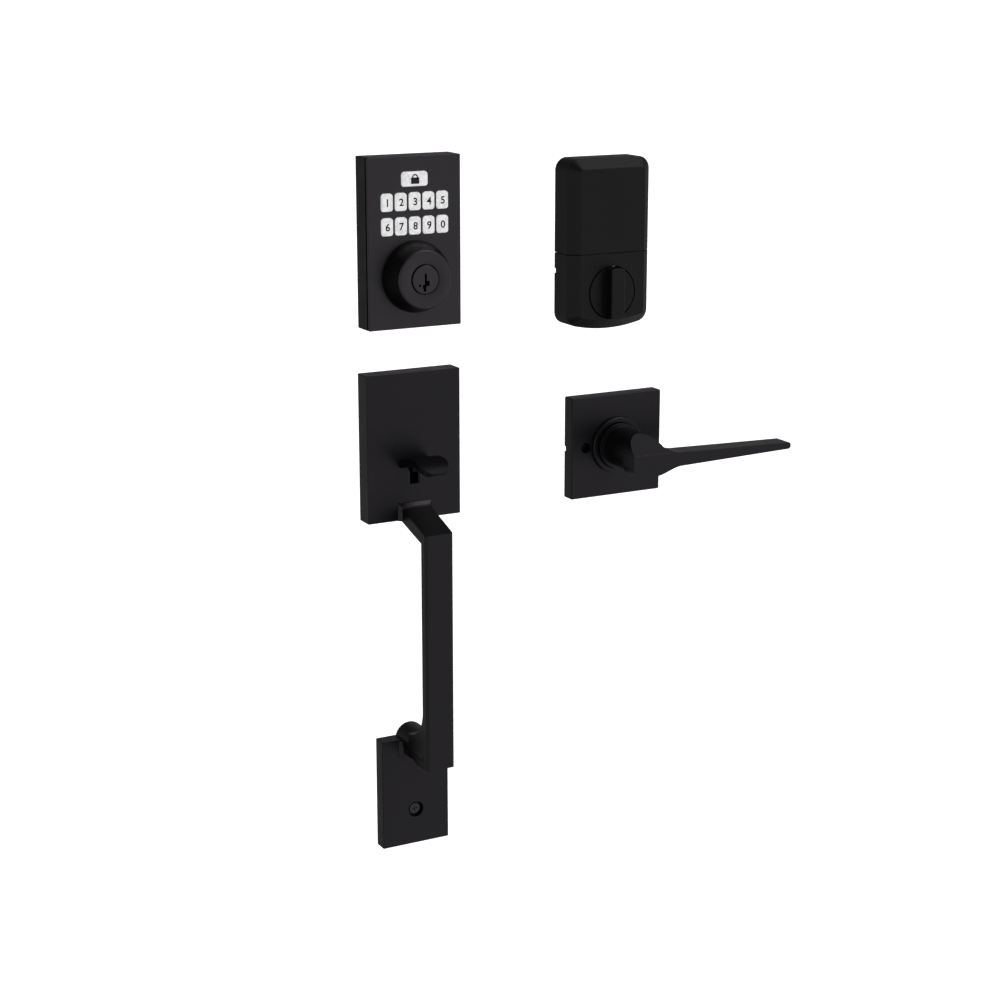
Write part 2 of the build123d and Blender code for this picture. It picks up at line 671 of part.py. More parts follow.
def paddle_outline():
    """The thumbpiece's side outline in YZ: a long arched back and a rolled front lip."""
    top = Spline((-14.8, -128.8), (-24, -126.0), (-33, -124.4), (-41, -125.0), (-47.5, -127.7), (-51.6, -131.6))
    lip = ThreePointArc((-51.6, -131.6), (-51.6, -133.4), (-49.8, -133.3))
    under = Spline((-49.8, -133.3), (-44.5, -130.9), (-38, -129.4), (-30, -129.6), (-22, -132.2), (-14.8, -134.6))
    root = Line((-14.8, -134.6), (-14.8, -128.8))
    return make_face([top.edges(), lip.edges(), under.edges(), root.edges()])


def thumbpiece():
    half = PADDLE_W / 2
    plane = Plane(origin=(-half, 0, 0), x_dir=(0, 1, 0), z_dir=(1, 0, 0))
    paddle = extrude(plane * paddle_outline(), PADDLE_W)
    plan = Pos(0, -PADDLE_FRONT + 30) * RectangleRounded(PADDLE_W, 60, PADDLE_CORNER)
    paddle &= extrude(Plane.XY.offset(-140) * plan, 20)
    stem = block(-3.2, 3.2, -18.0, THUMB_PIVOT_Y, -137.5, -130.4)
    hub = cross_rod(THUMB_PIVOT_Y, THUMB_PIVOT_Z, 3.6, -3.2, 3.2)
    tail = block(-TAIL_HALF, TAIL_HALF, THUMB_PIVOT_Y, 30.0, THUMB_PIVOT_Z - 2.6, THUMB_PIVOT_Z + 2.6)
    piece = paddle + stem + hub + tail
    return piece - cross_rod(THUMB_PIVOT_Y, THUMB_PIVOT_Z, 1.5 + FIT, -5, 5)


def thumb_pivot_pin():
    return cross_rod(THUMB_PIVOT_Y, THUMB_PIVOT_Z, 1.5, -9.5, 9.5)


def thumb_bracket():
    ears = []
    for side in (-1, 1):
        x0 = side * 7.0
        x1 = side * 8.6
        ear = block(min(x0, x1), max(x0, x1), -10.6, -BACK_PLATE, THUMB_PIVOT_Z - 4, THUMB_PIVOT_Z + 4)
        foot_x0 = side * 7.0
        foot_x1 = side * 14.0
        ear += block(min(foot_x0, foot_x1), max(foot_x0, foot_x1), -BACK_PLATE - 1.2, -BACK_PLATE,
                     THUMB_PIVOT_Z - 4, THUMB_PIVOT_Z + 4)
        ears.append(ear - cross_rod(THUMB_PIVOT_Y, THUMB_PIVOT_Z, 1.5, side * 6, side * 10))
    return group(ears)


def thumb_spring():
    return coil(5.1, THUMB_PIVOT_Y, THUMB_PIVOT_Z, 2.5, 0.5, 3, 0.95, "x")


def lower_escutcheon():
    body = plate_shell(LOWER_MID, LOWER_W, LOWER_H, LOWER_DEPTH, 0.6)
    body += rod(0, LOWER_BOLT_Z, BOLT_RECESS_R + 2.0, -LOWER_DEPTH + 1, -BOLT_SEAT + 1.8)
    body -= rod(0, LOWER_BOLT_Z, BOLT_RECESS_R, -LOWER_DEPTH - 1, -BOLT_SEAT)
    body -= rod(0, LOWER_BOLT_Z, 3.0, -LOWER_DEPTH - 1, 0)
    return body - rod(0, FOOT_SCREW_Z, 2.1, -LOWER_DEPTH - 1, -LOWER_DEPTH + 3)


def lower_back_plate():
    half = LOWER_W / 2 - CASE_WALL - 0.1
    plate = block(-half, half, -BACK_PLATE, 0, LOWER_BOTTOM + CASE_WALL + 0.1, LOWER_TOP - CASE_WALL - 0.1)
    return plate - rod(0, LOWER_BOLT_Z, 3.0, -3, 1)


def lower_bolt():
    bolt = pan_screw(0, LOWER_BOLT_Z, 3.9, 2.9, -BOLT_SEAT - 2.4, -BOLT_SEAT, 0)
    return bolt + rod(0, LOWER_BOLT_Z, BOLT_R, 0, 28)


# ------------------------------------------------------------- interior lever

def lever_rose():
    body = bevelled_plate(LEVER_X, LEVER_Z, ROSE_W, ROSE_W, ROSE_DEPTH, 1.2)
    half = ROSE_W / 2 - CASE_WALL
    body -= block(LEVER_X - half, LEVER_X + half, -ROSE_DEPTH + ROSE_WALL, 1, LEVER_Z - half, LEVER_Z + half)
    body -= rod(LEVER_X, LEVER_Z, 18.0, -20, 0)
    for side in (-1, 1):
        body -= rod(LEVER_X + side * ROSE_SCREW_SPACING / 2, LEVER_Z, 4.1, -20, 0)
    left = LEVER_X - ROSE_W / 2
    return body - block(left - 1, left + 1.0, -2.0, 1, LEVER_Z - 3, LEVER_Z + 1)


def rose_liner():
    half = ROSE_W / 2 - CASE_WALL - 0.1
    plate = block(LEVER_X - half, LEVER_X + half, -BACK_PLATE, 0, LEVER_Z - half, LEVER_Z + half)
    plate -= rod(LEVER_X, LEVER_Z, 16.2, -3, 1)
    for side in (-1, 1):
        plate -= rod(LEVER_X + side * ROSE_SCREW_SPACING / 2, LEVER_Z, 2.2, -3, 1)
    return plate


def rose_collar():
    ring = rod(LEVER_X, LEVER_Z, COLLAR_R, -ROSE_DEPTH - 3.0, -ROSE_DEPTH)
    ring = fillet(ring.faces().sort_by(Axis.Y)[0].edges(), 1.0)
    ring += rod(LEVER_X, LEVER_Z, 17.9, -ROSE_DEPTH - 0.2, -ROSE_DEPTH + 3.0)
    return ring - rod(LEVER_X, LEVER_Z, 17.4, -20, 0)


def lever_chassis():
    body = rod(LEVER_X, LEVER_Z, 16.1, -7.4, 10.0)
    body += rod(LEVER_X, LEVER_Z, 10.5, -11.0, -7.0)
    return body - rod(LEVER_X, LEVER_Z, 8.0 + FIT, -20, 20)


def lever_spring():
    return coil(LEVER_X, -9.2, LEVER_Z, 12.6, 0.7, 2, 1.3, "y")


def lever_spindle():
    spindle = rod(LEVER_X, LEVER_Z, 8.0, -24.0, 12.0)
    return spindle + block(LEVER_X - 4, LEVER_X + 4, 11, 44, LEVER_Z - 4, LEVER_Z + 4)


def front_sheet(face, y_front, y_back):
    """A face drawn about the lever's axis in XZ, made solid between two depths."""
    plane = Plane(origin=(LEVER_X, y_back, LEVER_Z), x_dir=(1, 0, 0), z_dir=(0, -1, 0))
    return extrude(plane * face, y_back - y_front)


def lever_outline():
    """The blade and the flat band across the hub, as seen from the front."""
    tip = LEVER_TIP_X - LEVER_X
    left = -NECK_R
    heel = ThreePointArc((left, -6.6), (left + 2.6, -12.2), (-6.6, -NECK_R))
    sole = Line((-6.6, -NECK_R), (1.0, -NECK_R))
    belly = Spline((1.0, -NECK_R), (12.0, -12.6), (25.0, -8.7), tangents=((1, 0.02), (1, 0.12)))
    edge = Polyline((25.0, -8.7), (tip - 1.4, BLADE_LOW), (tip, BLADE_LOW + 1.2), (tip, BLADE_HIGH - 1.0),
                    (tip - 1.2, BLADE_HIGH), (28.0, 1.4), (left, BAND_TOP), (left, -6.6))
    return make_face([heel.edges(), sole.edges(), belly.edges(), edge.edges()])


def lever_handle():
    x, z = LEVER_X, LEVER_Z
    front = -LEVER_FRONT
    handle = rod(x, z, 17.0, -16.6, -12.0) + rod(x, z, NECK_R, front, -16)
    handle += front_sheet(lever_outline(), front, front + BLADE_DEEP)
    shoulder = ThreePointArc((4.0, 14.0), (13.5, 5.4), (30.0, 1.3))
    fill = Polyline((30.0, 1.3), (30.0, 0.6), (0.0, 0.6), (0.0, 14.0), (4.0, 14.0))
    handle += front_sheet(make_face([shoulder.edges(), fill.edges()]), front, front + BLADE_DEEP)
    slope = ((front - 1, BAND_TOP - 0.9), (front + LEAF_DEEP, NECK_R + 0.2),
             (front + LEAF_DEEP, 40), (front - 1, 40))
    handle -= Pos(0, 0, z) * side_sheet(slope, x - 30, x + 40)
    return handle - rod(x, z, 8.0, -24.0, 0)


def rose_screws():
    screws = []
    for side in (-1, 1):
        x = LEVER_X + side * ROSE_SCREW_SPACING / 2
        screw = pan_screw(x, LEVER_Z, 3.8, 1.9, -BACK_PLATE - 2.6, -BACK_PLATE, 0)
        screws.append(screw + rod(x, LEVER_Z, ROSE_THREAD_R, 0, ROSE_SCREW_END))
    return group(screws)


def main():
    os.makedirs("parts", exist_ok=True)
    makers = (
        keypad_housing, keypad_faceplate, key_mat, keypad_board, keypad_back_plate, keypad_back_screws,
        cable_grommet, cylinder_guard, cylinder_body, key_plug, torque_blade, cylinder_posts,
        interior_housing, battery_cover, battery_tray, batteries, battery_contacts, interior_board,
        mounting_plate, housing_screws, thumbturn, turn_gear, idler_gear, motor_pinion, gearbox_plate, motor,
        upper_escutcheon, upper_back_plate, upper_posts, grip_handle, grip_screws, thumbpiece,
        thumb_pivot_pin, thumb_bracket, thumb_spring, lower_escutcheon, lower_back_plate, lower_bolt,
        lever_rose, rose_liner, rose_collar, lever_chassis, lever_spring, lever_spindle, lever_handle,
        rose_screws,
    )
    for maker in makers:
        save(maker(), maker.__name__)
    save(gasket_ring(0, KEYPAD_MID, KEYPAD_W, KEYPAD_H, 0.0), "keypad_gasket")
    save(gasket_ring(0, UPPER_MID, PLATE_W, UPPER_H, 0.0), "upper_gasket")
    for name, x, z, width, height in key_places():
        save(key_cap(x, z, width, height), name)


main()
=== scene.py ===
import json
import math

import bmesh
import bpy
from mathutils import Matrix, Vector


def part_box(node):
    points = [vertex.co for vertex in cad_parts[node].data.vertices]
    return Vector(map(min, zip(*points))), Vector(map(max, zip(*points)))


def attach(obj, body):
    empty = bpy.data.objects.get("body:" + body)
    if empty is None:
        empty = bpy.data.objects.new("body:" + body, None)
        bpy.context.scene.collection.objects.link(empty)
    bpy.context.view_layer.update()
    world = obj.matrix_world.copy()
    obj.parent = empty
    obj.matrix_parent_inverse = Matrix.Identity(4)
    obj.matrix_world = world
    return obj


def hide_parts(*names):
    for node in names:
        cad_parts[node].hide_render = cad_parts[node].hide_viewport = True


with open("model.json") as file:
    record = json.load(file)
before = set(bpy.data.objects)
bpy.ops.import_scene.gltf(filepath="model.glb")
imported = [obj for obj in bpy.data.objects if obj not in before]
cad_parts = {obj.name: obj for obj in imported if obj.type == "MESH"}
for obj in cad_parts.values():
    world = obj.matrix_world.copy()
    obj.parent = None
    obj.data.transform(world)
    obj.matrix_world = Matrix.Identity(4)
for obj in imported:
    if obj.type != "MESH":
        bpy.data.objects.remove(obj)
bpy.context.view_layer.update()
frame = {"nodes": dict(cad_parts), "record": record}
nodes = frame["nodes"]
MM = 0.001


# ------------------------------------------------------------------ small tools

def mesh_piece(name, verts, faces):
    """A new mesh object from points and faces, with its normals made consistent."""
    mesh = bpy.data.meshes.new(name)
    mesh.from_pydata([tuple(v) for v in verts], [], faces)
    work = bmesh.new()
    work.from_mesh(mesh)
    bmesh.ops.remove_doubles(work, verts=work.verts, dist=1e-7)
    bmesh.ops.recalc_face_normals(work, faces=work.faces)
    work.to_mesh(mesh)
    work.free()
    piece = bpy.data.objects.new(name, mesh)
    bpy.context.scene.collection.objects.link(piece)
    return piece


def loft(name, rings):
    """A closed form through rings of equally many points, with its two ends filled."""
    count = len(rings[0])
    verts = [point for ring in rings for point in ring]
    faces = []
    for row in range(len(rings) - 1):
        for i in range(count):
            j = (i + 1) % count
            a = row * count
            b = (row + 1) * count
            faces.append((a + i, a + j, b + j, b + i))
    faces.append(tuple(range(count)))
    faces.append(tuple((len(rings) - 1) * count + i for i in range(count)))
    return mesh_piece(name, verts, faces)


def arc(cx, cy, radius, start, end, steps):
    """Points along an arc from start to end, in degrees."""
    points = []
    for i in range(steps + 1):
        angle = math.radians(start + (end - start) * i / steps)
        points.append((cx + radius * math.cos(angle), cy + radius * math.sin(angle)))
    return points


def rounded_outline(width, height, radius, steps):
    """A rounded rectangle about the origin."""
    corners = ((1, -1, -90), (1, 1, 0), (-1, 1, 90), (-1, -1, 180))
    points = []
    for sx, sy, start in corners:
        cx = sx * (width / 2 - radius)
        cy = sy * (height / 2 - radius)
        points.extend(arc(cx, cy, radius, start, start + 90, steps))
    return points


def shade(piece, angle):
    """Smooth shading that keeps edges sharper than the angle, in degrees."""
    for face in piece.data.polygons:
        face.use_smooth = True
    bpy.context.view_layer.objects.active = piece
    with bpy.context.temp_override(object=piece, active_object=piece, selected_objects=[piece],
                                   selected_editable_objects=[piece]):
        bpy.ops.object.shade_auto_smooth(angle=math.radians(angle))


def dress(piece, material):
    """Gives a piece one material, in place of any it has."""
    piece.data.materials.clear()
    piece.data.materials.append(material)


# ---------------------------------------------------------- material building blocks

def new_material(name):
    material = bpy.data.materials.new(name)
    material.use_nodes = True
    tree = material.node_tree
    shader = tree.nodes["Principled BSDF"]
    place = tree.nodes.new("ShaderNodeTexCoord")
    return material, tree, shader, place


def noise(tree, place, scale, detail=4.0, rough=0.5):
    node = tree.nodes.new("ShaderNodeTexNoise")
    node.inputs["Scale"].default_value = scale
    node.inputs["Detail"].default_value = detail
    node.inputs["Roughness"].default_value = rough
    tree.links.new(place.outputs["Object"], node.inputs["Vector"])
    return node


def ramp(tree, source, low, high, colours):
    """Maps a value between low and high onto two colours."""
    node = tree.nodes.new("ShaderNodeValToRGB")
    node.color_ramp.elements[0].position = low
    node.color_ramp.elements[1].position = high
    node.color_ramp.elements[0].color = colours[0]
    node.color_ramp.elements[1].color = colours[1]
    tree.links.new(source, node.inputs["Fac"])
    return node


def grey(value):
    return (value, value, value, 1.0)


def black(value):
    """A near black with a faint magenta cast."""
    return (value, value * 0.97, value * 1.04, 1)


def bump(tree, shader, height, strength, distance, edge=0.0):
    """Surface relief, over edges rounded by the given radius."""
    node = tree.nodes.new("ShaderNodeBump")
    if edge > 0:
        round_edge = tree.nodes.new("ShaderNodeBevel")
        round_edge.samples = 8
        round_edge.inputs["Radius"].default_value = edge
        tree.links.new(round_edge.outputs["Normal"], node.inputs["Normal"])
    node.inputs["Strength"].default_value = strength
    node.inputs["Distance"].default_value = distance
    tree.links.new(height, node.inputs["Height"])
    tree.links.new(node.outputs["Normal"], shader.inputs["Normal"])


def edge_highlight_mask(tree, radius):
    """A mask that is white along convex and concave edges of the given radius, used to paint
    highlights along edges.
    """
    bevel = tree.nodes.new("ShaderNodeBevel")
    bevel.inputs["Radius"].default_value = radius
    bevel.samples = 6
    geometry = tree.nodes.new("ShaderNodeNewGeometry")
    dot = tree.nodes.new("ShaderNodeVectorMath")
    dot.operation = "DOT_PRODUCT"
    tree.links.new(bevel.outputs["Normal"], dot.inputs[0])
    tree.links.new(geometry.outputs["Normal"], dot.inputs[1])
    return ramp(tree, dot.outputs["Value"], 0.90, 0.995, (grey(1.0), grey(0.0)))


def mix_colour(tree, factor, first, second):
    """Mixes two colours, each given as a tuple or as a socket."""
    node = tree.nodes.new("ShaderNodeMix")
    node.data_type = "RGBA"
    # The mix node repeats its socket names for each data type, so its colour sockets go by number
    first_socket, second_socket, result = node.inputs[6], node.inputs[7], node.outputs[2]
    tree.links.new(factor, node.inputs["Factor"])
    for source, socket in ((first, first_socket), (second, second_socket)):
        if isinstance(source, tuple):
            socket.default_value = source
        else:
            tree.links.new(source, socket)
    return result


# -------------------------------------------------------------------- materials

COAT_HIGHLIGHT_RADIUS = 0.5 * MM
COAT_TINT = (1.0, 0.93, 1.04, 1)


def coated_metal(name, dark, light, rough_low, rough_high, gloss, edge=0.0005, highlight_gain=0.5):
    """Satin powder-coated metal: fine orange peel, faint mottling and a painted highlight that
    lightens its convex and concave edges.
    """
    material, tree, shader, place = new_material(name)
    broad = noise(tree, place, 60.0, detail=5.0, rough=0.6)
    fine = noise(tree, place, 2600.0, detail=3.0, rough=0.55)
    colour = ramp(tree, broad.outputs["Fac"], 0.35, 0.7, (dark, light))
    # Lighter base colour along convex and concave edges: a painted highlight, not wear
    highlight_mask = edge_highlight_mask(tree, COAT_HIGHLIGHT_RADIUS)
    painted_highlight = tuple(min(1.0, c * (1 + 1.6 * highlight_gain) + 0.004) for c in light[:3]) + (1.0,)
    tree.links.new(mix_colour(tree, highlight_mask.outputs["Color"], colour.outputs["Color"], painted_highlight),
                   shader.inputs["Base Color"])
    rough = ramp(tree, broad.outputs["Fac"], 0.3, 0.75, (grey(rough_low), grey(rough_high)))
    tree.links.new(rough.outputs["Color"], shader.inputs["Roughness"])
    shader.inputs["Specular IOR Level"].default_value = gloss
    shader.inputs["Specular Tint"].default_value = COAT_TINT
    bump(tree, shader, fine.outputs["Fac"], strength=0.30, distance=0.00004, edge=edge)
    return material


def moulded_plastic(name, dark, light, rough_low, rough_high, grain=3200.0, gloss=0.5):
    """Moulded plastic with a fine grain."""
    material, tree, shader, place = new_material(name)
    broad = noise(tree, place, 35.0, detail=4.0, rough=0.6)
    fine = noise(tree, place, grain, detail=2.0, rough=0.6)
    colour = ramp(tree, broad.outputs["Fac"], 0.35, 0.7, (dark, light))
    tree.links.new(colour.outputs["Color"], shader.inputs["Base Color"])
    rough = ramp(tree, fine.outputs["Fac"], 0.3, 0.7, (grey(rough_low), grey(rough_high)))
    tree.links.new(rough.outputs["Color"], shader.inputs["Roughness"])
    shader.inputs["Specular IOR Level"].default_value = gloss
    bump(tree, shader, fine.outputs["Fac"], strength=0.35, distance=0.00005, edge=0.0004)
    return material


def key_white():
    """White key caps, slightly mottled, that glow faintly as if lit from behind."""
    material, tree, shader, place = new_material("key_white")
    broad = noise(tree, place, 420.0, detail=3.0, rough=0.6)
    colour = ramp(tree, broad.outputs["Fac"], 0.32, 0.62,
                  ((0.66, 0.67, 0.68, 1), (0.88, 0.88, 0.87, 1)))
    tree.links.new(colour.outputs["Color"], shader.inputs["Base Color"])
    rough = ramp(tree, broad.outputs["Fac"], 0.3, 0.7, (grey(0.38), grey(0.5)))
    tree.links.new(rough.outputs["Color"], shader.inputs["Roughness"])
    tree.links.new(colour.outputs["Color"], shader.inputs["Emission Color"])
    shader.inputs["Emission Strength"].default_value = 0.60
    bump(tree, shader, broad.outputs["Fac"], strength=0.12, distance=0.00005)
    return material


def ink():
    """The black print on the key caps."""
    material, tree, shader, place = new_material("key_ink")
    fine = noise(tree, place, 900.0, detail=2.0)
    colour = ramp(tree, fine.outputs["Fac"], 0.3, 0.7,
                  ((0.010, 0.010, 0.011, 1), (0.020, 0.020, 0.022, 1)))
    tree.links.new(colour.outputs["Color"], shader.inputs["Base Color"])
    shader.inputs["Roughness"].default_value = 0.55
    return material


def plated_steel():
    """Plated steel with fine tool streaks."""
    colour = (0.55, 0.56, 0.57, 1)
    rough = 0.32
    material, tree, shader, place = new_material("plated_steel")
    stretch = tree.nodes.new("ShaderNodeMapping")
    stretch.inputs["Scale"].default_value = (40.0, 900.0, 900.0)
    tree.links.new(place.outputs["Object"], stretch.inputs["Vector"])
    streaks = tree.nodes.new("ShaderNodeTexNoise")
    streaks.inputs["Scale"].default_value = 1.0
    streaks.inputs["Detail"].default_value = 4.0
    tree.links.new(stretch.outputs["Vector"], streaks.inputs["Vector"])
    darker = tuple(c * 0.72 for c in colour[:3]) + (1.0,)
    shaded = ramp(tree, streaks.outputs["Fac"], 0.3, 0.7, (darker, colour))
    tree.links.new(shaded.outputs["Color"], shader.inputs["Base Color"])
    finish = ramp(tree, streaks.outputs["Fac"], 0.3, 0.7, (grey(rough * 0.8), grey(rough * 1.3)))
    tree.links.new(finish.outputs["Color"], shader.inputs["Roughness"])
    shader.inputs["Metallic"].default_value = 1.0
    bump(tree, shader, streaks.outputs["Fac"], strength=0.15, distance=0.00003)
    return material


def soft_rubber():
    """Matt black rubber."""
    material, tree, shader, place = new_material("soft_rubber")
    fine = noise(tree, place, 1500.0, detail=3.0, rough=0.6)
    colour = ramp(tree, fine.outputs["Fac"], 0.3, 0.7,
                  ((0.008, 0.008, 0.008, 1), (0.018, 0.018, 0.018, 1)))
    tree.links.new(colour.outputs["Color"], shader.inputs["Base Color"])
    rough = ramp(tree, fine.outputs["Fac"], 0.3, 0.7, (grey(0.68), grey(0.86)))
    tree.links.new(rough.outputs["Color"], shader.inputs["Roughness"])
    bump(tree, shader, fine.outputs["Fac"], strength=0.3, distance=0.00008)
    return material


def circuit_board():
    """Green solder mask with paler lines for traces."""
    material, tree, shader, place = new_material("circuit_board")
    traces = tree.nodes.new("ShaderNodeTexBrick")
    traces.inputs["Scale"].default_value = 260.0
    traces.inputs["Color1"].default_value = (0.010, 0.075, 0.035, 1)
    traces.inputs["Color2"].default_value = (0.012, 0.095, 0.045, 1)
    traces.inputs["Mortar"].default_value = (0.03, 0.16, 0.08, 1)
    tree.links.new(place.outputs["Object"], traces.inputs["Vector"])
    tree.links.new(traces.outputs["Color"], shader.inputs["Base Color"])
    fine = noise(tree, place, 700.0)
    rough = ramp(tree, fine.outputs["Fac"], 0.3, 0.7, (grey(0.3), grey(0.42)))
    tree.links.new(rough.outputs["Color"], shader.inputs["Roughness"])
    return material


# The black parts differ only in darkness and gloss; shaded_metal is a darker, duller copy of the
# same coat that paints shade where it is put
BLACK_METAL = coated_metal("black_metal", black(0.0030), black(0.0048), 0.34, 0.44, gloss=0.49)
KEYPAD_METAL = coated_metal("keypad_metal", black(0.0095), black(0.0130), 0.36, 0.46, gloss=0.84)
PLATE_METAL = coated_metal("plate_metal", black(0.0040), black(0.0060), 0.36, 0.46, gloss=0.50)
# A darker, duller copy of the black coat: painted shade
SHADED_METAL = coated_metal("shaded_metal", black(0.0036), black(0.0052), 0.42, 0.50, gloss=0.19)
HOUSING_METAL = coated_metal("housing_metal", black(0.0030), black(0.0045), 0.36, 0.46, gloss=0.30)
# The plug's edges carry a narrower, stronger painted highlight
DARK_PLUG = coated_metal("dark_plug", black(0.012), black(0.02), 0.26, 0.36, gloss=0.8,
                         edge=0.0002, highlight_gain=1.2)
BLACK_PLASTIC = moulded_plastic("black_plastic", black(0.0042), black(0.0060), 0.40, 0.54,
                                gloss=0.36)
GEAR_PLASTIC = moulded_plastic("gear_plastic", (0.60, 0.57, 0.48, 1), (0.72, 0.69, 0.60, 1),
                               0.35, 0.5)
STEEL = plated_steel()
RUBBER = soft_rubber()
BOARD = circuit_board()
KEY_WHITE = key_white()
INK = ink()
BATTERY = moulded_plastic("battery_wrap", (0.03, 0.035, 0.04, 1), (0.05, 0.055, 0.06, 1),
                          0.22, 0.3, grain=900.0)

SLOT_MATERIALS = {
    "black_metal": BLACK_METAL, "black_plastic": BLACK_PLASTIC, "key_white": KEY_WHITE,
    "black_rubber": RUBBER, "steel": STEEL, "board_green": BOARD, "dark_plug": DARK_PLUG,
    "battery_wrap": BATTERY, "gear_plastic": GEAR_PLASTIC,
}
for entry in frame["record"]["subparts"]:
    dress(nodes[entry["node"]], SLOT_MATERIALS[entry["material_slot"]])
for plate in ("upper_escutcheon", "lower_escutcheon", "lever_rose"):
    dress(nodes[plate], PLATE_METAL)
dress(nodes["keypad_faceplate"], KEYPAD_METAL)
dress(nodes["keypad_housing"], HOUSING_METAL)
# The thumbpiece takes the darker, duller copy of the coat: painted shade
dress(nodes["thumbpiece"], SHADED_METAL)


# ------------------------------------------------------- camera, studio and stage

CAMERA_TURN = math.radians(27.9)
CAMERA_TILT = math.radians(14.5)
CAMERA_DISTANCE = 1.531
CAMERA_SENSOR = 36.0
CAMERA_LENS = 75.6
CAMERA_REACH = 3000.0
AIM = Vector((0.0755, 0.0, -0.1714))


def set_camera():
    """The photograph's camera, left of the set and a little above it."""
    data = bpy.data.cameras.new("camera")
    camera = bpy.data.objects.new("camera", data)
    bpy.context.scene.collection.objects.link(camera)
    forward = Vector((math.sin(CAMERA_TURN) * math.cos(CAMERA_TILT),
                      math.cos(CAMERA_TURN) * math.cos(CAMERA_TILT), -math.sin(CAMERA_TILT)))
    camera.location = AIM - forward * CAMERA_DISTANCE
    camera.rotation_mode = "QUATERNION"
    camera.rotation_quaternion = forward.to_track_quat("-Z", "Y")
    data.sensor_width = CAMERA_SENSOR
    data.lens = CAMERA_LENS
    data.clip_end = CAMERA_REACH
    bpy.context.scene.camera = camera


# Direction, sharpness, strength and tint of each bright area round the set
STUDIO = (
    ((0.45, -0.86, -0.25), 5.0, 0.47, (1.0, 0.99, 1.0)),
    ((-0.85, -0.45, -0.12), 7.0, 0.64, (1.0, 0.99, 1.0)),
    ((-0.45, 0.86, -0.25), 6.0, 0.22, (1.0, 1.0, 1.0)),
    ((0.45, 0.86, 0.20), 12.0, 0.22, (1.0, 1.0, 1.0)),
    ((0.44, -0.40, 0.80), 18.0, 2.60, (1.0, 1.0, 1.0)),
    ((0.95, -0.15, -0.15), 8.0, 0.55, (1.0, 1.0, 1.0)),
    ((0.42, 0.15, -0.88), 8.0, 0.60, (1.0, 1.0, 1.0)),
)
STUDIO_BASE = 0.045


def set_world():
    """A dim studio with soft bright areas placed round the set."""
    world = bpy.data.worlds.new("studio")
    bpy.context.scene.world = world
    world.use_nodes = True
    tree = world.node_tree
    background = tree.nodes["Background"]
    place = tree.nodes.new("ShaderNodeTexCoord")
    total = None
    for direction, sharpness, strength, tint in STUDIO:
        towards = tree.nodes.new("ShaderNodeVectorMath")
        towards.operation = "DOT_PRODUCT"
        towards.inputs[1].default_value = Vector(direction).normalized()
        tree.links.new(place.outputs["Generated"], towards.inputs[0])
        front_half = tree.nodes.new("ShaderNodeMath")
        front_half.operation = "MAXIMUM"
        front_half.inputs[1].default_value = 0.0
        tree.links.new(towards.outputs["Value"], front_half.inputs[0])
        falloff = tree.nodes.new("ShaderNodeMath")
        falloff.operation = "POWER"
        falloff.inputs[1].default_value = sharpness
        tree.links.new(front_half.outputs["Value"], falloff.inputs[0])
        area = tree.nodes.new("ShaderNodeVectorMath")
        area.operation = "SCALE"
        area.inputs[0].default_value = Vector(tint) * strength
        tree.links.new(falloff.outputs["Value"], area.inputs["Scale"])
        add = tree.nodes.new("ShaderNodeVectorMath")
        add.operation = "ADD"
        if total is None:
            add.inputs[0].default_value = (STUDIO_BASE, STUDIO_BASE, STUDIO_BASE)
        else:
            tree.links.new(total, add.inputs[0])
        tree.links.new(area.outputs["Vector"], add.inputs[1])
        total = add.outputs["Vector"]
    tree.links.new(total, background.inputs["Color"])
    background.inputs["Strength"].default_value = 1.0


STAGE_REACH = 800.0
FLOOR_LEVEL = -1.1
STAGE_GLOW = 1.05


def pale_stage():
    """A plain white floor well below the hung set, and plain white walls far away round it."""
    corners = ((-STAGE_REACH, -STAGE_REACH), (STAGE_REACH, -STAGE_REACH),
               (STAGE_REACH, STAGE_REACH), (-STAGE_REACH, STAGE_REACH))
    floor = mesh_piece("floor", [(x, y, FLOOR_LEVEL) for x, y in corners], [(0, 1, 2, 3)])
    rims = [(x, y, z) for z in (FLOOR_LEVEL, STAGE_REACH) for x, y in corners]
    walls = mesh_piece("walls", rims,
                       [(i, (i + 1) % 4, (i + 1) % 4 + 4, i + 4) for i in range(4)])
    material, tree, shader, place = new_material("floor_white")
    patches = noise(tree, place, 2.0, detail=2.0)
    colour = ramp(tree, patches.outputs["Fac"], 0.3, 0.7, (grey(0.98), grey(1.0)))
    tree.links.new(colour.outputs["Color"], shader.inputs["Base Color"])
    tree.links.new(colour.outputs["Color"], shader.inputs["Emission Color"])
    shader.inputs["Emission Strength"].default_value = STAGE_GLOW
    shader.inputs["Roughness"].default_value = 0.9
    for surface in (floor, walls):
        dress(surface, material)
        surface.visible_diffuse = False
        surface.visible_glossy = False
    walls.visible_shadow = False


set_camera()
set_world()
pale_stage()
bpy.context.scene.view_settings.view_transform = "Standard"


# --------------------------------------------------------------------- keypad

DIGIT_SIZE = 7.0 * MM
DIGIT_SWELL = 0.00014
PRINT_THICK = 0.00006


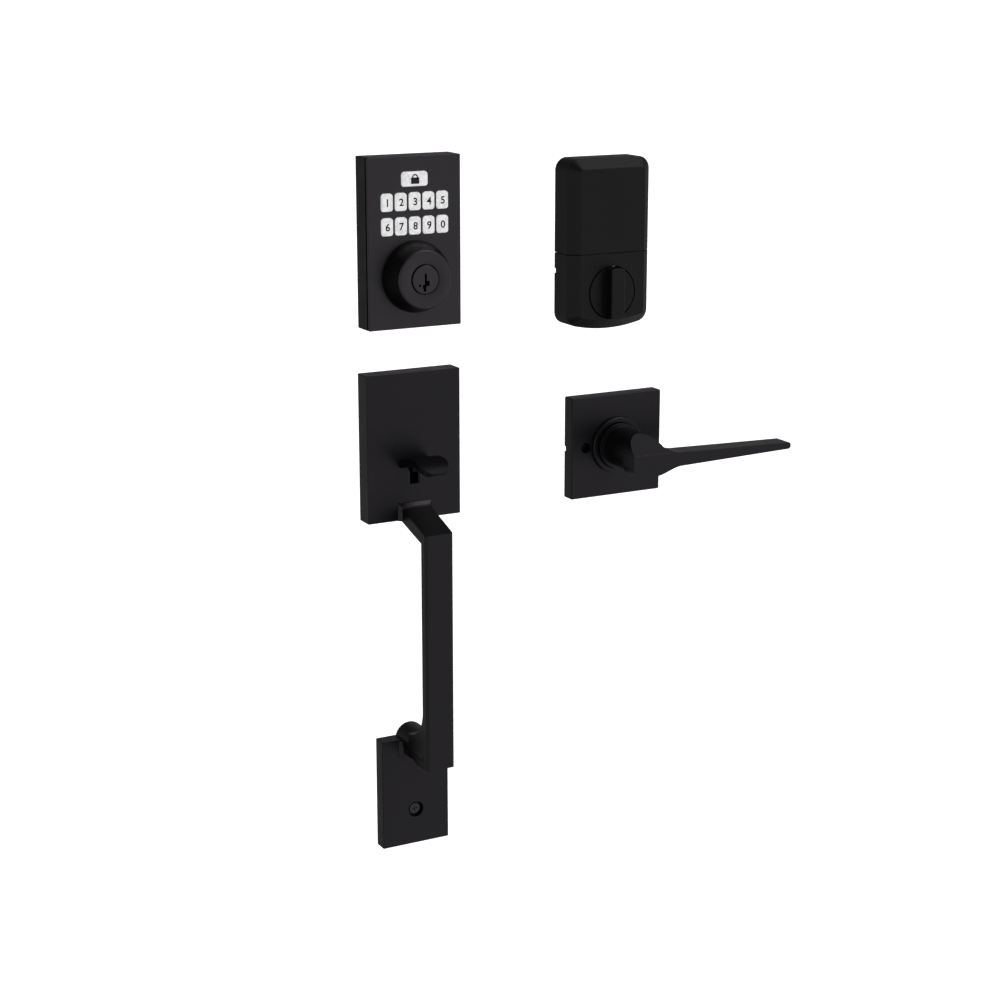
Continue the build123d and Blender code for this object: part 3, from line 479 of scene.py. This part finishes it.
def digit(text):
    """A generic digit, printed on its key cap."""
    key = "key_" + text
    low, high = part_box(key)
    curve = bpy.data.curves.new("digit_" + text, "FONT")
    curve.body = text
    curve.size = DIGIT_SIZE
    curve.align_x = "CENTER"
    curve.align_y = "CENTER"
    curve.extrude = PRINT_THICK
    curve.offset = DIGIT_SWELL
    curve.resolution_u = 8
    mark = bpy.data.objects.new("digit_" + text, curve)
    bpy.context.scene.collection.objects.link(mark)
    mark.rotation_euler = (math.radians(90), 0, 0)
    mark.location = ((low.x + high.x) / 2, low.y, (low.z + high.z) / 2)
    bpy.context.view_layer.update()
    graph = bpy.context.evaluated_depsgraph_get()
    mesh = bpy.data.meshes.new_from_object(mark.evaluated_get(graph))
    mesh.transform(mark.matrix_world)
    piece = bpy.data.objects.new("digit_" + text, mesh)
    bpy.context.scene.collection.objects.link(piece)
    bpy.data.objects.remove(mark)
    # A character's own box is rarely centred on its text point
    xs = [v.co.x for v in mesh.vertices]
    zs = [v.co.z for v in mesh.vertices]
    dx = (low.x + high.x) / 2 - (min(xs) + max(xs)) / 2
    dz = (low.z + high.z) / 2 - (min(zs) + max(zs)) / 2
    for v in mesh.vertices:
        v.co.x += dx
        v.co.z += dz
    dress(piece, INK)
    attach(piece, key)


SIGN_BODY_W = 6.2 * MM
SIGN_BODY_H = 4.3 * MM
SIGN_BODY_CORNER = 0.5 * MM
SIGN_BODY_DROP = 1.1 * MM
SHACKLE_OUTER_R = 2.2 * MM
SHACKLE_INNER_R = 1.3 * MM
SHACKLE_LEG_TOP = 0.8 * MM
SHACKLE_LEG_FOOT = -0.2 * MM
SHACKLE_LIFT = 0.4 * MM


def lock_sign():
    """A plain padlock sign on the wide key."""
    low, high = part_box("lock_button")
    x = (low.x + high.x) / 2
    z = (low.z + high.z) / 2
    y = low.y
    body = rounded_outline(SIGN_BODY_W, SIGN_BODY_H, SIGN_BODY_CORNER, 4)
    front = [(x + px, y - PRINT_THICK, z - SIGN_BODY_DROP + pz) for px, pz in body]
    back = [(x + px, y + PRINT_THICK, z - SIGN_BODY_DROP + pz) for px, pz in body]
    base = loft("lock_sign_body", [front, back])
    outer = ([(SHACKLE_OUTER_R, SHACKLE_LEG_FOOT)]
             + arc(0, SHACKLE_LEG_TOP, SHACKLE_OUTER_R, 0, 180, 16)
             + [(-SHACKLE_OUTER_R, SHACKLE_LEG_FOOT)])
    inner = ([(-SHACKLE_INNER_R, SHACKLE_LEG_FOOT)]
             + arc(0, SHACKLE_LEG_TOP, SHACKLE_INNER_R, 180, 0, 16)
             + [(SHACKLE_INNER_R, SHACKLE_LEG_FOOT)])
    band = [(x + px, z + SHACKLE_LIFT + pz) for px, pz in outer + inner]
    shackle = loft("lock_sign_shackle", [[(px, y - PRINT_THICK, pz) for px, pz in band],
                                         [(px, y + PRINT_THICK, pz) for px, pz in band]])
    for piece in (base, shackle):
        dress(piece, INK)
        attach(piece, "lock_button")


for text in "1234567890":
    digit(text)
lock_sign()


COLLAR_FRONT_R = 19.8 * MM
COLLAR_BORE_R = 10.3 * MM
COLLAR_HOLLOW_R = 15.4 * MM
COLLAR_WALL = 3.0 * MM
COLLAR_BACK_EDGE = 0.5 * MM
COLLAR_BAND = 2.4 * MM
COLLAR_SHOULDER = 3.6 * MM
COLLAR_SHOULDER_IN = 0.35 * MM
TAPER_STEPS = 12
TAPER_SPREAD = 0.9 * MM
TAPER_BULGE = 0.5 * MM
TAPER_END = 1.6 * MM
FRONT_ROUND_R = 1.5 * MM
FRONT_ROUND_IN = 1.1 * MM
BORE_EDGE = 0.5 * MM
BORE_EDGE_MIDDLE = 0.15 * MM
COLLAR_SEGMENTS = 160
FACE_RIM = 0.5 * MM
FACE_DEPTH = 0.6 * MM


def collar_profile(base_r, front, back):
    """Radius and depth round the collar's section, from its back edge out, forward and in."""
    profile = [(COLLAR_HOLLOW_R, back), (base_r - COLLAR_BACK_EDGE, back),
               (base_r, back - COLLAR_BACK_EDGE), (base_r, back - COLLAR_BAND),
               (base_r - COLLAR_SHOULDER_IN, back - COLLAR_SHOULDER)]
    for i in range(1, TAPER_STEPS):
        t = i / TAPER_STEPS
        radius = (base_r - COLLAR_SHOULDER_IN + (COLLAR_FRONT_R + TAPER_SPREAD - base_r) * t
                  + TAPER_BULGE * math.sin(math.pi * t))
        depth = back - COLLAR_SHOULDER + (front + TAPER_END - back + COLLAR_SHOULDER) * t
        profile.append((radius, depth))
    for px, py in arc(0, 0, FRONT_ROUND_R, 0, 90, 8):
        profile.append((COLLAR_FRONT_R - FRONT_ROUND_IN + px, front + FRONT_ROUND_R - py))
    profile += [(COLLAR_BORE_R + BORE_EDGE, front),
                (COLLAR_BORE_R + BORE_EDGE_MIDDLE, front + BORE_EDGE_MIDDLE),
                (COLLAR_BORE_R, front + BORE_EDGE), (COLLAR_BORE_R, front + COLLAR_WALL),
                (COLLAR_HOLLOW_R, front + COLLAR_WALL), (COLLAR_HOLLOW_R, back)]
    return profile


def cylinder_collar():
    """The tapered collar round the key cylinder, with soft turned edges."""
    low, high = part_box("cylinder_guard")
    x = (low.x + high.x) / 2
    z = (low.z + high.z) / 2
    front = low.y
    profile = collar_profile((high.x - low.x) / 2, front, high.y)
    steps = COLLAR_SEGMENTS
    verts = []
    for radius, y in profile:
        for i in range(steps):
            angle = 2 * math.pi * i / steps
            verts.append((x + radius * math.cos(angle), y, z + radius * math.sin(angle)))
    faces = []
    for row in range(len(profile) - 1):
        a = row * steps
        b = (row + 1) * steps
        for i in range(steps):
            j = (i + 1) % steps
            faces.append((a + i, a + j, b + j, b + i))
    collar = mesh_piece("cylinder_collar", verts, faces)
    shade(collar, 40)
    # Lit and shaded copies on one part: the front face takes the lighter keypad coat, and the
    # tapered wall a darker, duller copy as painted shade
    dress(collar, KEYPAD_METAL)
    collar.data.materials.append(SHADED_METAL)
    for face in collar.data.polygons:
        centre = face.center
        radius = math.hypot(centre.x - x, centre.z - z)
        if radius > COLLAR_FRONT_R - FACE_RIM and centre.y > front + FACE_DEPTH:
            face.material_index = 1
    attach(collar, "root")
    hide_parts("cylinder_guard")


cylinder_collar()


# ----------------------------------------------------------------------- finish

for node in nodes.values():
    shade(node, 30)
